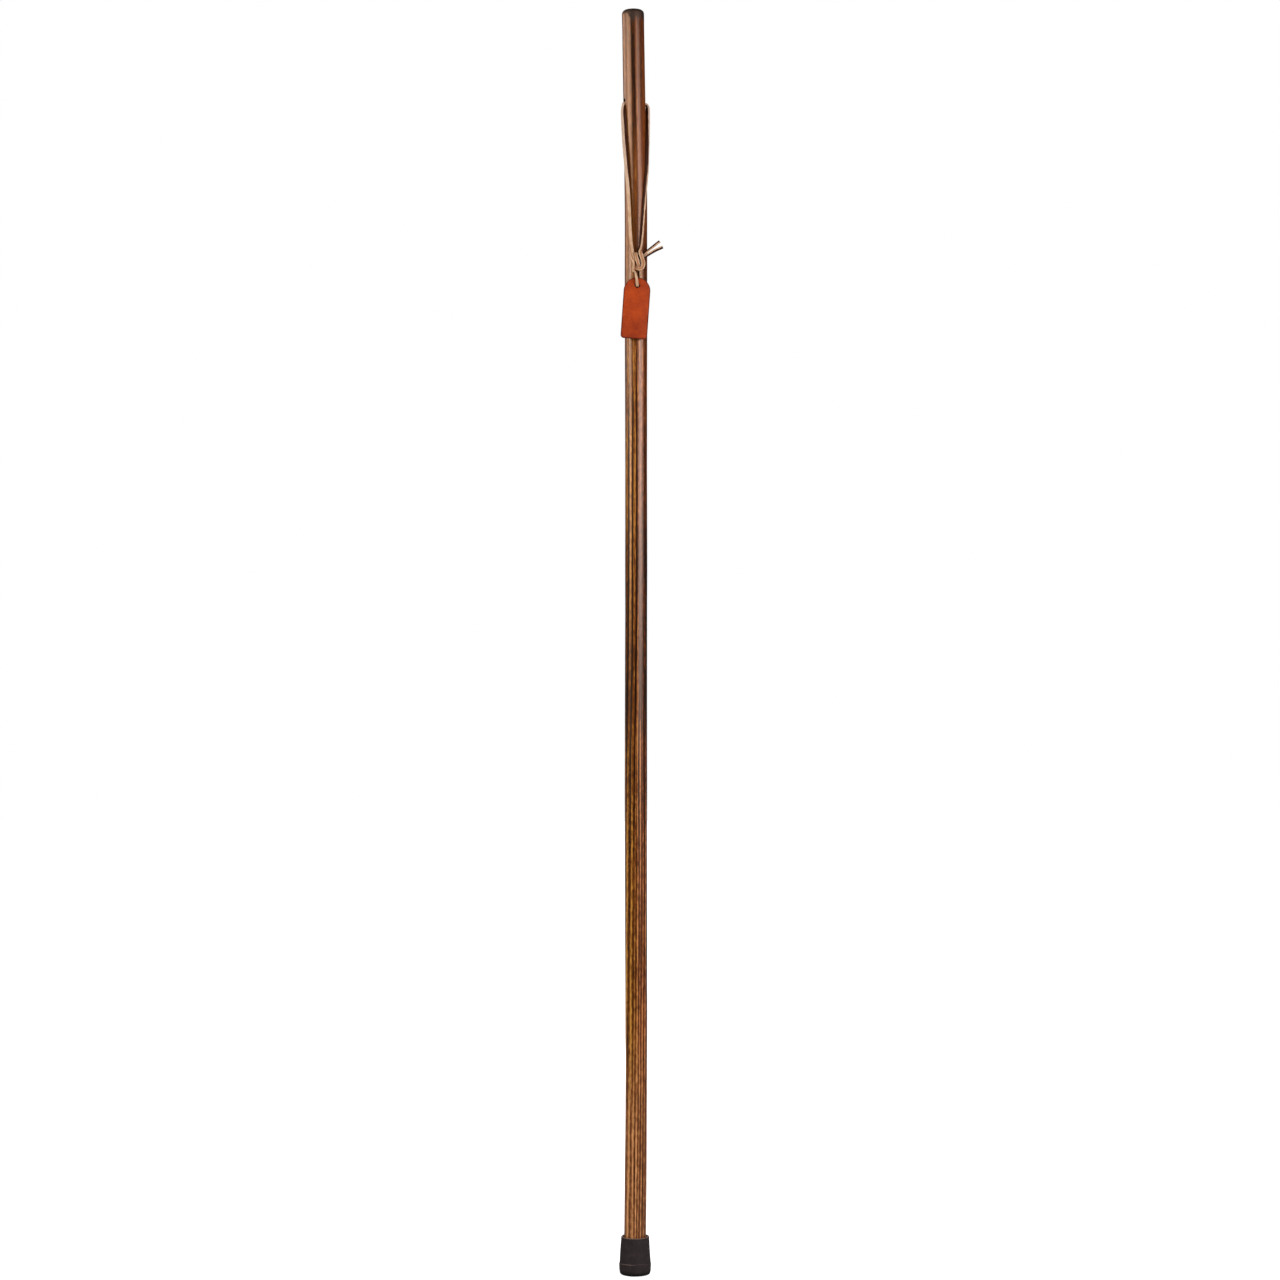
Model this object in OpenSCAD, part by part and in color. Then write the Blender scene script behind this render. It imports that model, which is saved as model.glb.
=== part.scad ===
// Hiking staff: a turned hardwood stick with a rubber ferrule and a knotted leather wrist thong.
// Millimetres. The foot stands on z = 0, +z runs up the stick and the tag hangs on the -y side.

/* [Shaft] */
// Height of the whole staff
staff_h = 1473; // [1400:1:1550]
// Diameter of the grip at the top
grip_d = 25.8; // [24:0.1:27]
// Diameter just below the crook
neck_d = 25.6; // [23.6:0.1:26.6]
// Diameter at the lower end
low_d = 24.6; // [22:0.1:25.4]
// Height of the slight natural crook in the stick
crook_h = 1245; // [1200:1:1260]
// Lean of the stick above the crook, in degrees
lean = 0.9; // [0.1:0.1:1.2]
// Rounding of the top edge
crown_r = 5; // [1:0.5:10]

/* [Strap hole] */
// Distance from the top down to the hole
hole_drop = 107; // [100:1:120]
// Diameter of the hole
hole_d = 6.5; // [5:0.1:8]
// Turn of the hole about the stick, in degrees
hole_turn = 20; // [15:1:25]

/* [Rubber tip] */
// Height of the ferrule
tip_h = 44; // [40:0.5:55]
// Diameter at the mouth
tip_mouth_d = 31.8; // [30:0.1:34]
// Diameter of the body just above the band
tip_body_d = 35.4; // [34.5:0.1:38]
// Diameter of the band round the foot
band_d = 36.4; // [36:0.1:42]
// Height of the band
band_h = 13; // [11:0.5:16]
// Inward taper of the band towards the floor
band_taper = 0.5; // [0:0.1:1]
// Rounding of the edge that meets the floor
sole_r = 2; // [0.5:0.1:3]
// Thickness of the rubber under the washer
sole_t = 9; // [6:0.5:10]
// Half thickness of the rolled lip
lip_r = 1.2; // [0.8:0.1:1.5]
// Number of grooves in the tread
tread_n = 3; // [1:1:4]
// Depth of the tread grooves
tread_depth = 1.2; // [0.5:0.1:3]
// Width of a tread groove
tread_w = 1.4; // [0.8:0.1:2]

/* [Washer] */
// Thickness of the steel washer
washer_t = 1.6; // [1:0.1:2.5]
// Hole in the washer
washer_hole_d = 6; // [4:0.5:10]

/* [Thong] */
// Thickness of the lace
lace_d = 3; // [2.4:0.1:3]

/* [Tag] */
// Width of the tag
tag_w = 31; // [26:0.5:36]
// Length of the tag, from the top of its arch
tag_h = 71; // [50:0.5:90]
// Thickness of the leather
tag_t = 3; // [1.5:0.1:3.2]
// Radius of the lower corners
tag_corner = 4; // [1:0.5:8]
// Diameter of the punched hole
tag_hole_d = 5.4; // [5:0.1:6.5]
// Distance from the top of the arch to the hole
tag_hole_drop = 9.2; // [8:0.1:11]
// Lean of the tag, in degrees
tag_tilt = 4; // [-10:0.5:10]

/* [Fits] */
// Radial clearance between the stick and the ferrule's socket
socket_gap = 0.05; // [0.02:0.01:0.2]
// Radial clearance round the washer
washer_gap = 0.2; // [0.1:0.05:0.5]
// Slack of the tag on the lace
tag_slack = 1; // [0.9:0.1:1.2]
// Clearance under the lace in the strap hole
lace_gap = 0.65; // [0.5:0.05:0.8]

/* [Hidden] */
$fn = 96;

wood = [0.42, 0.25, 0.12];
rubber = [0.16, 0.14, 0.15];
steel = [0.7, 0.7, 0.72];
lace = [0.8, 0.62, 0.47];
leather = [0.72, 0.27, 0.09];

// Stick: the lower length stands upright and the upper one leans from the crook
stick_foot_z = sole_t + washer_t;
upper_len = (staff_h - crook_h) / cos(lean);
hole_up = (staff_h - hole_drop - crook_h) / cos(lean);
// The straight grip starts just above the hole
grip_margin = 1.5;
grip_foot = hole_up + hole_d / 2 + grip_margin;
// The lower length runs this far up inside the upper one, which is a hair thicker there
crook_lap = 1;
crook_step = 0.05;

// Ferrule
socket_d = low_d + 2 * socket_gap;
band_foot_d = band_d - 2 * band_taper;
// Eases the corner under the band's step
step_h = 0.6;
tread_pitch = (band_foot_d / 2 - sole_r) / (tread_n + 1);

// Thong: the middle of the hole, its direction towards the right and back, and the lace lying low in it
hole_mid = [-hole_up * sin(lean), 0, crook_h + hole_up * cos(lean)];
hole_dir = [cos(hole_turn) * cos(lean), sin(hole_turn), cos(hole_turn) * sin(lean)];
lace_mid = hole_mid - [0, 0, (hole_d - lace_d) / 2 - lace_gap];

// The knot's own frame: right, up and out from the front of the stick
knot_mid = [3.5, -12.8, 1178];
function at_knot(p) = [knot_mid.x + p[0], knot_mid.y - p[2], knot_mid.z + p[1]];

// Right strand: out of the hole at the right, round that side and down to the knot
right_strand = [
    lace_mid + 6 * hole_dir, lace_mid + 12 * hole_dir,
    [12.3, 5.2, 1363.8], [13.5, 5.2, 1360.2], [13.6, 4, 1353], [13.6, 1.5, 1344], [13.7, -2.2, 1328],
    [13.2, -4.9, 1312], [12.7, -6.7, 1296], [12.2, -8.1, 1279], [11.2, -9.9, 1260], [9.3, -12, 1236],
    [7.5, -13.3, 1214], [6, -14.1, 1199]
];
// Its end crosses the knot's front, turns below it, climbs behind and leaves to the right as the lower tail
right_end = [
    [1.5, 14.4, 2.4], [1.7, 10, 4.3], [2.6, 6.6, 5], [3.7, 3.2, 5], [4.7, 0.2, 4.6], [5.3, -2.8, 4.2],
    [4.9, -5.8, 4.4], [3.1, -8, 4.9], [0.6, -8.9, 5.1], [-1.9, -8.5, 4.7], [-3.6, -7.2, 3], [-4.4, -5.2, 1.8],
    [-4.5, -2.8, 1.6], [-3.6, -0.6, 1.6], [-2, 1.1, 1.7], [0.2, 2.2, 1.6], [2.8, 3.1, 1.5], [5.4, 4.5, 1.7],
    [8.4, 6.3, 2.8], [12.2, 8.5, 3.8], [19.6, 12.6, 4.7], [27.4, 16, 5]
];
// Left strand: out of the hole at the left and down to the knot
left_strand = [
    lace_mid - 6 * hole_dir, lace_mid - 12 * hole_dir,
    [-15.8, -5.25, 1363.5], [-16.7, -6.2, 1359.9], [-16, -7, 1353], [-15.2, -7.5, 1344], [-14.3, -8.2, 1332],
    [-13.2, -9.1, 1318], [-12, -10.2, 1302], [-10.4, -11.5, 1284], [-8.8, -12.6, 1264], [-7.1, -13.5, 1240],
    [-6, -14.1, 1216], [-5.3, -14.5, 1198]
];
// It goes straight down the knot's left side and becomes the left leg, in front of the tag
left_down = [
    [-8, 12.5, 1.8], [-7.4, 7, 2.6], [-6.9, 3, 4], [-6.4, -0.6, 4.9], [-6.2, -4, 5], [-6.4, -7.4, 4.9],
    [-6.5, -10.2, 4.8], [-5.8, -12.4, 5.4], [-4.6, -14.2, 7.2], [-3.8, -16.2, 8.9], [-3.3, -18.6, 9.4],
    [-2.9, -21, 9.4], [-2.6, -23.6, 9.2]
];
// The bend that carries the tag, from its front to behind it
tag_bend = [[-2.3, -27.2, 8.4], [-1.9, -28.2, 5.4], [-1.3, -27.2, 2.4]];
// The right leg climbs behind the tag and the knot's lower turn, crosses its front, folds over the top and
// leaves to the right as the upper tail
left_up = [
    [0.8, -23.6, 1.8], [2, -19, 1.9], [1.9, -14.5, 1.7], [1.7, -11.2, 1.5], [1, -8.6, 1.6], [0, -6.1, 2.7],
    [-0.9, -3.6, 4.4], [-1.7, -0.6, 5.1], [-2.5, 2.4, 5.1], [-3.1, 4.8, 5.2], [-3.5, 6.3, 5.4],
    [-3.75, 7.35, 5.35], [-3.87, 8.28, 4.98], [-3.9, 8.95, 4.3], [-3.85, 9.2, 3.35], [-3.7, 8.95, 2.42],
    [-3.4, 8.28, 1.75], [-2.9, 7.4, 1.5], [-2.1, 6.5, 1.5], [-0.8, 6, 1.45], [0.9, 6.05, 1.4],
    [2.9, 6.9, 1.4], [5.2, 8.5, 1.7], [8.6, 10.9, 2.8], [12.8, 14.1, 3.9], [18.4, 18.4, 4.7], [23.8, 22.6, 5]
];

function reversed(list) = [for (i = [len(list) - 1 : -1 : 0]) list[i]];
left_way = concat(left_strand, [for (p = concat(left_down, tag_bend, left_up)) at_knot(p)]);
right_way = concat(right_strand, [for (p = right_end) at_knot(p)]);
thong_way = concat(reversed(left_way), [lace_mid], right_way);

// Smooth curve through a list of points, with a ring at each and others about ring_gap apart between them
ring_gap = 7.5;
thong_sides = 8;
function bend_at(a, b, c, d, t) =
    0.5 * (2 * b + (c - a) * t + (2 * a - 5 * b + 4 * c - d) * t * t + (3 * b - a - 3 * c + d) * t * t * t);
function neighbour(way, i) =
    i < 0 ? 2 * way[0] - way[1]
    : i >= len(way) ? 2 * way[len(way) - 1] - way[len(way) - 2]
    : way[i];
function steps_of(way, i) = max(1, round(norm(way[i + 1] - way[i]) / ring_gap));
function smooth(way) = concat(
    [for (i = [0 : len(way) - 2], n = steps_of(way, i), k = [0 : n - 1])
        bend_at(neighbour(way, i - 1), way[i], way[i + 1], neighbour(way, i + 2), k / n)],
    [way[len(way) - 1]]);

// Each ring stands square to the curve, and is turned as little as possible from the ring before
function unit(v) = v / norm(v);
function square_to(v, along) = unit(v - (v * along) * along);
function along_at(line, i) = unit(line[min(i + 1, len(line) - 1)] - line[max(i - 1, 0)]);
function ring_sides(line) = [
    for (i = 0, side = square_to([0, 0, 1], along_at(line, 0)); i < len(line);
         i = i + 1, side = i < len(line) ? square_to(side, along_at(line, i)) : side) side];
function ring_points(line, d, n) = let (sides = ring_sides(line)) [
    for (i = [0 : len(line) - 1], k = [0 : n - 1])
        let (across = cross(along_at(line, i), sides[i]), a = 360 * (k + 0.5) / n)
        line[i] + d / 2 * (cos(a) * sides[i] + sin(a) * across)];
function tube_faces(rings, n) = concat(
    [for (k = [1 : n - 2]) [0, k, k + 1]],
    [for (i = [0 : rings - 2], k = [0 : n - 1]) [i * n + k, (i + 1) * n + k, i * n + (k + 1) % n]],
    [for (i = [0 : rings - 2], k = [0 : n - 1])
        [i * n + (k + 1) % n, (i + 1) * n + k, (i + 1) * n + (k + 1) % n]],
    [for (k = [1 : n - 2]) [(rings - 1) * n, (rings - 1) * n + k + 1, (rings - 1) * n + k]]);

// Least gap of the lace to itself, between points that lie more than this far apart along it
gap_reach = 7;
thong_line = smooth(thong_way);
function run_to(line) = [
    for (i = 0, run = 0; i < len(line);
         i = i + 1, run = i < len(line) ? run + norm(line[i] - line[i - 1]) : run) run];
thong_run = run_to(thong_line);
thong_len = thong_run[len(thong_run) - 1];
thong_gap = min([for (i = [0 : len(thong_line) - 2], j = [i + 1 : len(thong_line) - 1])
    if (thong_run[j] - thong_run[i] > gap_reach) norm(thong_line[i] - thong_line[j])]) - lace_d;
echo(thong_length = thong_len, thong_least_gap = thong_gap);

// Tag: hung so that the lace lies near the top of its hole
tag_eye = at_knot(tag_bend[1]) - [0, 0, (tag_hole_d - lace_d) / 2 - tag_slack];

module upper_frame() {
    translate([0, 0, crook_h]) rotate([0, -lean, 0]) children();
}

module upper_profile() {
    grip_r = grip_d / 2;
    difference() {
        polygon([
            [0, 0], [neck_d / 2, 0], [grip_r, grip_foot], [grip_r, upper_len], [0, upper_len]
        ]);
        translate([grip_r - crown_r, upper_len - crown_r]) difference() {
            square(2 * crown_r);
            circle(r = crown_r);
        }
    }
}

module shaft() {
    color(wood) difference() {
        union() {
            upper_frame() rotate_extrude() upper_profile();
            rotate_extrude() polygon([
                [0, stick_foot_z], [low_d / 2, stick_foot_z], [low_d / 2, tip_h],
                [neck_d / 2 - crook_step, crook_h], [neck_d / 2 - crook_step, crook_h + crook_lap],
                [0, crook_h + crook_lap]
            ]);
        }
        upper_frame() translate([0, 0, hole_up]) rotate([0, 90, hole_turn])
            cylinder(h = 2 * grip_d, d = hole_d, center = true);
    }
}

module tip_profile() {
    difference() {
        union() {
            polygon([
                [0, 0], [band_foot_d / 2 - sole_r, 0], [band_foot_d / 2, sole_r],
                [band_d / 2, band_h - step_h], [tip_body_d / 2, band_h],
                [tip_mouth_d / 2, tip_h - lip_r], [0, tip_h - lip_r]
            ]);
            translate([band_foot_d / 2 - sole_r, sole_r]) circle(r = sole_r);
            translate([tip_mouth_d / 2 - lip_r, tip_h - lip_r]) circle(r = lip_r);
        }
        translate([0, sole_t]) square([socket_d / 2, tip_h]);
        for (i = [1 : tread_n])
            translate([i * tread_pitch, 0]) square([tread_w, 2 * tread_depth], center = true);
    }
}

module rubber_tip() {
    color(rubber) rotate_extrude() tip_profile();
}

module tip_washer() {
    color(steel) translate([0, 0, sole_t]) rotate_extrude()
        translate([washer_hole_d / 2, 0]) square([(socket_d - washer_hole_d) / 2 - washer_gap, washer_t]);
}

module wrist_thong() {
    color(lace) polyhedron(
        points = ring_points(thong_line, lace_d, thong_sides),
        faces = tube_faces(len(thong_line), thong_sides));
}

module tag_outline() {
    arch_r = tag_w / 2;
    translate([0, tag_hole_drop - arch_r]) circle(r = arch_r);
    translate([-arch_r, tag_hole_drop - tag_h + tag_corner]) square([tag_w, tag_h - arch_r - tag_corner]);
    translate([tag_corner - arch_r, tag_hole_drop - tag_h]) square([tag_w - 2 * tag_corner, 2 * tag_corner]);
    for (side = [-1, 1])
        translate([side * (arch_r - tag_corner), tag_hole_drop - tag_h + tag_corner]) circle(r = tag_corner);
}

module leather_tag() {
    color(leather) translate(tag_eye) rotate([90, tag_tilt, 0])
        linear_extrude(height = tag_t, center = true) difference() {
            tag_outline();
            circle(d = tag_hole_d);
        }
}

shaft();
rubber_tip();
tip_washer();
wrist_thong();
leather_tag();
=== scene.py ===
"""Hiking staff: the finish of the stick, its rubber ferrule, the knotted leather thong and its tag.

The shapes are worked out in millimetres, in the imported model's frame: the foot stands on z = 0 and
the tag hangs on the -y side. They become metres where a mesh is made. Materials, camera and lamps
are in metres.
"""
import math

import bpy
import numpy as np
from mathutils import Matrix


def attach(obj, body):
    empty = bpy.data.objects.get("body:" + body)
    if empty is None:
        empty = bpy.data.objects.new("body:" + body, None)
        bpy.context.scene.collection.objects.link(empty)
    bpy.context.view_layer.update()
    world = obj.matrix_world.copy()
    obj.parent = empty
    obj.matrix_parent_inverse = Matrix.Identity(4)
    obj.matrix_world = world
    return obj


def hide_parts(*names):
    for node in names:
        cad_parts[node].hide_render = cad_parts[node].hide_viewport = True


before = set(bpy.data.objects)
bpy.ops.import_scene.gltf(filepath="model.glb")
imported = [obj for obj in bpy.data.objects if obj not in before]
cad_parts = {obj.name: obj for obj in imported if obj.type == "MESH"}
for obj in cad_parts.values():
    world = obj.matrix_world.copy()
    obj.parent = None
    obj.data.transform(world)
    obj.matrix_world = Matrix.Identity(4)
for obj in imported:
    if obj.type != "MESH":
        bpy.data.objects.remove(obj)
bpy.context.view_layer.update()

MM = 0.001
FULL_TURN = 2 * math.pi

# Sizes of the solids, in millimetres
STAFF_H = 1473.0
GRIP_D, NECK_D, LOW_D = 25.8, 25.6, 24.6
CROOK_H = 1245.0
LEAN = math.radians(0.9)
CROWN_R = 5.0
HOLE_DROP, HOLE_D = 107.0, 6.5
HOLE_TURN = math.radians(20)
LACE_SAG = 1.9
TIP_H, TIP_MOUTH_D, TIP_BODY_D = 44.0, 31.8, 35.4
BAND_D, BAND_H, BAND_TAPER = 36.4, 13.0, 0.5
SOLE_R, SOLE_T, LIP_R = 2.0, 9.0, 1.2
TREAD_N, TREAD_DEPTH, TREAD_W = 3, 1.2, 1.4
WASHER_T = 1.6
SOCKET_GAP = 0.05
TAG_W, TAG_H, TAG_T, TAG_CORNER = 31.0, 71.0, 3.0, 4.0
TAG_HOLE_D, TAG_HOLE_DROP = 5.4, 9.2
TAG_TILT = math.radians(4)
TAG_EYE = np.array([1.6, -18.2, 1149.6])

UPPER_LEN = (STAFF_H - CROOK_H) / math.cos(LEAN)
HOLE_UP = (STAFF_H - HOLE_DROP - CROOK_H) / math.cos(LEAN)
STICK_TOP = CROOK_H + UPPER_LEN
HOLE_AT = CROOK_H + HOLE_UP
HOLE_MID = np.array([-HOLE_UP * math.sin(LEAN), 0, CROOK_H + HOLE_UP * math.cos(LEAN)])
HOLE_DIR = np.array([math.cos(HOLE_TURN) * math.cos(LEAN), math.sin(HOLE_TURN),
                     math.cos(HOLE_TURN) * math.sin(LEAN)])


# Camera

SENSOR_W, LENS = 36.0, 77.2
CAMERA_AT = (0.00466, -3.2, 0.7386)


def add_camera():
    """A level camera in front of the staff, at half its height."""
    lens = bpy.data.cameras.new("camera")
    lens.sensor_width = SENSOR_W
    lens.lens = LENS
    camera = bpy.data.objects.new("camera", lens)
    camera.location = CAMERA_AT
    camera.rotation_euler = (math.pi / 2, 0, 0)
    bpy.context.collection.objects.link(camera)
    bpy.context.scene.camera = camera


# Meshes

def grid_faces(rows, cols, first=0, ring=False):
    """Quads of a grid of points stored row by row, whose rows are closed; ring also joins the last row to
    the first."""
    i, j = np.meshgrid(np.arange(rows if ring else rows - 1), np.arange(cols), indexing="ij")
    after, beside = (i + 1) % rows, (j + 1) % cols
    quads = np.stack([i * cols + j, i * cols + beside, after * cols + beside, after * cols + j], axis=-1)
    return (quads.reshape(-1, 4) + first).tolist()


def fan_faces(row, centre, cols, flip=False):
    """Triangles between a closed row of points, whose first is numbered row, and one centre point."""
    here = row + np.arange(cols)
    beside = np.roll(here, -1)
    middle = np.full(cols, centre)
    return np.stack([beside, here, middle] if flip else [here, beside, middle], axis=-1).tolist()


def add_piece(name, points, faces, finish, body, slot, node, fields=()):
    """A smooth mesh from points in millimetres that stands for a solid; fields hold numbers by point."""
    mesh = bpy.data.meshes.new(name)
    mesh.from_pydata((np.asarray(points) * MM).tolist(), [], faces)
    for key, values in dict(fields).items():
        mesh.attributes.new(key, "FLOAT", "POINT").data.foreach_set("value", values)
    mesh.shade_smooth()
    mesh.materials.append(finish)
    piece = bpy.data.objects.new(name, mesh)
    bpy.context.collection.objects.link(piece)
    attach(piece, body)
    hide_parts(node)
    return piece


def ease(x, low, high):
    """0 below low, 1 above high, and 3t^2 - 2t^3 between."""
    t = np.clip((np.asarray(x, float) - low) / (high - low), 0, 1)
    return t * t * (3 - 2 * t)


def unit(v):
    return v / np.linalg.norm(v, axis=-1, keepdims=True)


def run_along(points):
    """How far along a row of points each one lies."""
    return np.concatenate([[0], np.cumsum(np.linalg.norm(np.diff(points, axis=0), axis=1))])


def arc(x, y, r, start, end, steps):
    """Points of a circle's arc between two angles, in degrees."""
    a = np.radians(np.linspace(start, end, steps))
    return np.stack([x + r * np.cos(a), y + r * np.sin(a)], axis=1)


def line(start, end, shares):
    """Points between two others, by their shares of the way."""
    start, end = np.asarray(start), np.asarray(end)
    return start + (end - start) * np.asarray(shares)[:, None]


# Shader maths

class Tone:
    """One output of a material's nodes. Arithmetic on tones adds Math nodes, so 1 - mask works as it is
    written."""

    def __init__(self, tree, socket=None):
        self.tree = tree
        self.socket = socket

    def node(self, kind, settings=(), sockets=(), out=0):
        """Adds a node of any kind, with its settings, and its sockets' values or links by name or place."""
        made = self.tree.nodes.new("ShaderNode" + kind)
        for key, value in dict(settings).items():
            setattr(made, key, value)
        for key, value in dict(sockets).items():
            if isinstance(value, Tone):
                self.tree.links.new(value.socket, made.inputs[key])
            else:
                made.inputs[key].default_value = value
        return Tone(self.tree, made.outputs[out])

    def math(self, operation, *values):
        return self.node("Math", {"operation": operation}, dict(enumerate(values)))

    def __add__(self, other):
        return self.math("ADD", self, other)

    __radd__ = __add__

    def __sub__(self, other):
        return self.math("SUBTRACT", self, other)

    def __rsub__(self, other):
        return self.math("SUBTRACT", other, self)

    def __mul__(self, other):
        return self.math("MULTIPLY", self, other)

    __rmul__ = __mul__

    def __truediv__(self, other):
        return self.math("DIVIDE", self, other)

    def __pow__(self, other):
        return self.math("POWER", self, other)

    def at_least(self, other):
        return self.math("MAXIMUM", self, other)

    def at_most(self, other):
        return self.math("MINIMUM", self, other)

    def whole(self):
        return self.math("FLOOR", self)

    def wave(self):
        return self.math("SINE", self)

    def ease(self, low, high, start=0.0, end=1.0):
        """start below low, end above high, and a smooth step between."""
        return self.node("MapRange", {"interpolation_type": "SMOOTHSTEP"},
                         {0: self, 1: low, 2: high, 3: start, 4: end})

    def stretched(self, by):
        return self.node("VectorMath", {"operation": "MULTIPLY"}, {0: self, 1: by})

    def noise(self, scale, detail=2.0, roughness=0.5):
        return self.node("TexNoise", {}, {"Vector": self, "Scale": scale, "Detail": detail,
                                          "Roughness": roughness})

    def cells(self, scale, feature):
        return self.node("TexVoronoi", {"feature": feature}, {"Vector": self, "Scale": scale}, "Distance")

    def axes(self):
        """The three parts of a vector."""
        split = self.node("SeparateXYZ", {}, {0: self}).socket.node
        return [Tone(self.tree, split.outputs[k]) for k in range(3)]

    def joined(self, y, z):
        return self.node("CombineXYZ", {}, {0: self, 1: y, 2: z})

    def between(self, one, other):
        """A colour between two, by this tone as the share of the other."""
        return self.node("Mix", {"data_type": "RGBA"}, {0: self, 6: one, 7: other}, 2)

    def bump(self, strength, distance):
        return self.node("Bump", {}, {"Height": self, "Strength": strength, "Distance": distance})


def shade(code):
    """A colour's linear values from its usual six-figure code."""
    parts = np.array([int(code[k:k + 2], 16) for k in (0, 2, 4)]) / 255
    linear = np.where(parts <= 0.04045, parts / 12.92, ((parts + 0.055) / 1.055) ** 2.4)
    return (*linear, 1.0)


def new_finish(name):
    """A material with a bare shader: the material, its shader's sockets, and its Object coordinates."""
    finish = bpy.data.materials.new(name)
    finish.use_nodes = True
    tree = finish.node_tree
    sockets = tree.nodes["Principled BSDF"].inputs
    where = Tone(tree).node("TexCoord", out="Object")
    return finish, sockets, where


def feed(sockets, **values):
    """Links tones to a shader's sockets and sets plain values; names have _ for a space."""
    for key, value in values.items():
        socket = sockets[key.replace("_", " ")]
        if isinstance(value, Tone):
            value.tree.links.new(value.socket, socket)
        else:
            socket.default_value = value


# Finishes

# From one ring line of the wood to the next, above and below
WIDE_RING, FINE_RING = 0.0047, 0.0031
# Where the stain is deeper or paler all round, and where the wood is darker or paler at its left edge: from
# one height to another, the length over which it fades beyond them, and by how much
DEEPER = ((0.56, 0.96, 0.08, 0.30), (0.66, 0.84, 0.06, 0.24), (0.36, 0.57, 0.05, 0.31))
LEFT_EDGE_TONE = ((0.66, 0.84, 0.08, 0.30), (0.36, 0.56, 0.08, -0.50))


def stained_wood():
    """Straight-grained hardwood under an amber stain and a satin lacquer. Growth rings cut the surface in
    lines along the stick, wide ones above and fine ones below; streaks, fibres and short pore dashes lie
    along them, and the stain is deeper in some lengths of the stick than in others."""
    finish, sockets, where = new_finish("stained_wood")
    x, y, z = where.axes()
    x = x + (z - CROOK_H * MM).at_least(0) * math.tan(LEAN)
    along = x.joined(y, z)

    def stretch(bottom, top, fade):
        """1 between two heights, fading out beyond them."""
        return z.ease(bottom - fade, bottom) * z.ease(top + fade, top)

    def deeper(rows):
        return sum(stretch(bottom, top, fade) * by for bottom, top, fade, by in rows)

    # The lower half, the foot, the calmer wood above, the banded middle, the right side and the left edge
    low, foot, calm = z.ease(0.70, 0.50), z.ease(0.30, 0.16), z.ease(1.06, 1.14)
    banded = stretch(0.56, 0.96, 0.1)
    right, left_edge = x.ease(-0.006, 0.006), x.ease(-0.0078, -0.0105)

    # Wide ring lines in the middle, and fine ones below, where each year's line has its own strength
    sway = (along.stretched((20, 20, 3.0)).noise(1.0) - 0.5) * 0.002
    drift = z.ease(0.80, 0.56) * 0.0026 - 0.0009 + sway
    wide = ((x + drift) * (FULL_TURN / WIDE_RING) + math.pi / 2).wave().ease(-0.2, 1.0)
    wide_end = (x - z.ease(0.70, 0.62) * 0.003).ease(0.004, 0.002)
    slant = (0.55 - z).at_least(0) ** 2 * 0.0106 + 0.0005
    fine_ring = (x + (-0.0025 - x).at_least(0) * 0.4 + sway + slant) / FINE_RING
    fine = (fine_ring * FULL_TURN).wave()
    year = fine_ring.whole().joined(z * 3.0, 0).stretched((3.7, 1, 1)).noise(1.0, 1.0)
    rings = (wide - 0.4) * (banded * 1.5 + 0.1) * wide_end + fine * low * (0.4 + 0.65 * year)

    streaks = along.stretched((340, 340, 5)).noise(1.0, 2.0, 0.55)
    fibres = along.stretched((700, 700, 11)).noise(1.0, 2.0, 0.6)
    grains = along.stretched((340, 340, 130)).noise(1.0, 2.0, 0.6)
    patches = along.stretched((60, 60, 3.2)).noise(1.0)
    figure = ((streaks - 0.5) * (2.3 - banded) + (fibres - 0.5) * (2.2 - 0.2 * low)
              + (grains - 0.5) * (1.4 + 1.4 * low))

    # How dark the stain is; a dark line runs up the middle of the calmer wood, front and back: partly dark
    # stain, partly painted shade in the gap between the two lamps' highlights
    core = (((x + 0.0008) / 0.0024) ** 2).ease(1.4, 0.2) * z.ease(1.26, 1.40, 0.12, 0.5)
    depth = (0.54 + low * 0.05 + deeper(DEEPER) + left_edge * deeper(LEFT_EDGE_TONE)
             + calm * (core + 0.2 * right - 0.02) - foot * (0.36 - 0.35 * right))
    dark = depth + rings + figure * (1 - 0.5 * calm) + (patches - 0.5) * (0.8 + low)

    pale = right.between(low.between(shade("b6792c"), shade("cc8e3a")),
                         low.between(shade("ae6e3c"), shade("c47e4a")))
    pale = foot.between(pale, shade("de9c62"))
    middle = foot.between(right.between(shade("6d3906"), shade("6a3310")), shade("78431c"))
    deep = foot.between(low.between(shade("1c0801"), shade("1e0a01")), shade("38190a"))
    amber = dark.ease(low * -0.7 - foot * 0.3 - 0.1, low * 0.3 + 0.55).between(pale, middle)
    wood = dark.ease(0.45, low * 0.8 + 1.15).between(amber, deep)
    wood = (fibres.ease(0.50, 0.70) * 0.35 * low).between(wood, shade("54290c"))

    # The rounded top is darker end grain, and painted shade takes it near black, reaching further down on
    # the right where the lamps' highlight ends; the wall of the hole is painted dark as shade in the bore
    brink = x.ease(-0.0076, -0.0006, 1.4670, 1.4570) + x.ease(-0.0004, 0.0030, 0.0, 0.0045)
    blur = x.ease(-0.006, 0.000, 0.0012, 0.0040)
    top = ((z - brink + (fibres - 0.5) * 0.004) / blur).ease(-1.0, 1.0)
    bore_shade = ((x * x + y * y) ** 0.5).ease(0.0121, 0.0125, 1.0, 0.0) * stretch(1.35, 1.38, 0.01)
    black = patches.ease(0.35, 0.65).between(shade("0c0706"), shade("191211"))
    wood = (top * 0.9).at_least(bore_shade).between(wood, black)
    skin = (dark * -0.4 + grains * -0.8).bump(0.22, 0.0003)
    feed(sockets, Base_Color=wood, Roughness=0.23 + 0.08 * (patches + grains) + 0.3 * top + 0.5 * bore_shade,
         Normal=skin, Specular_IOR_Level=0.8, Specular_Tint=(1.0, 0.68, 0.52, 1.0))
    return finish


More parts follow.
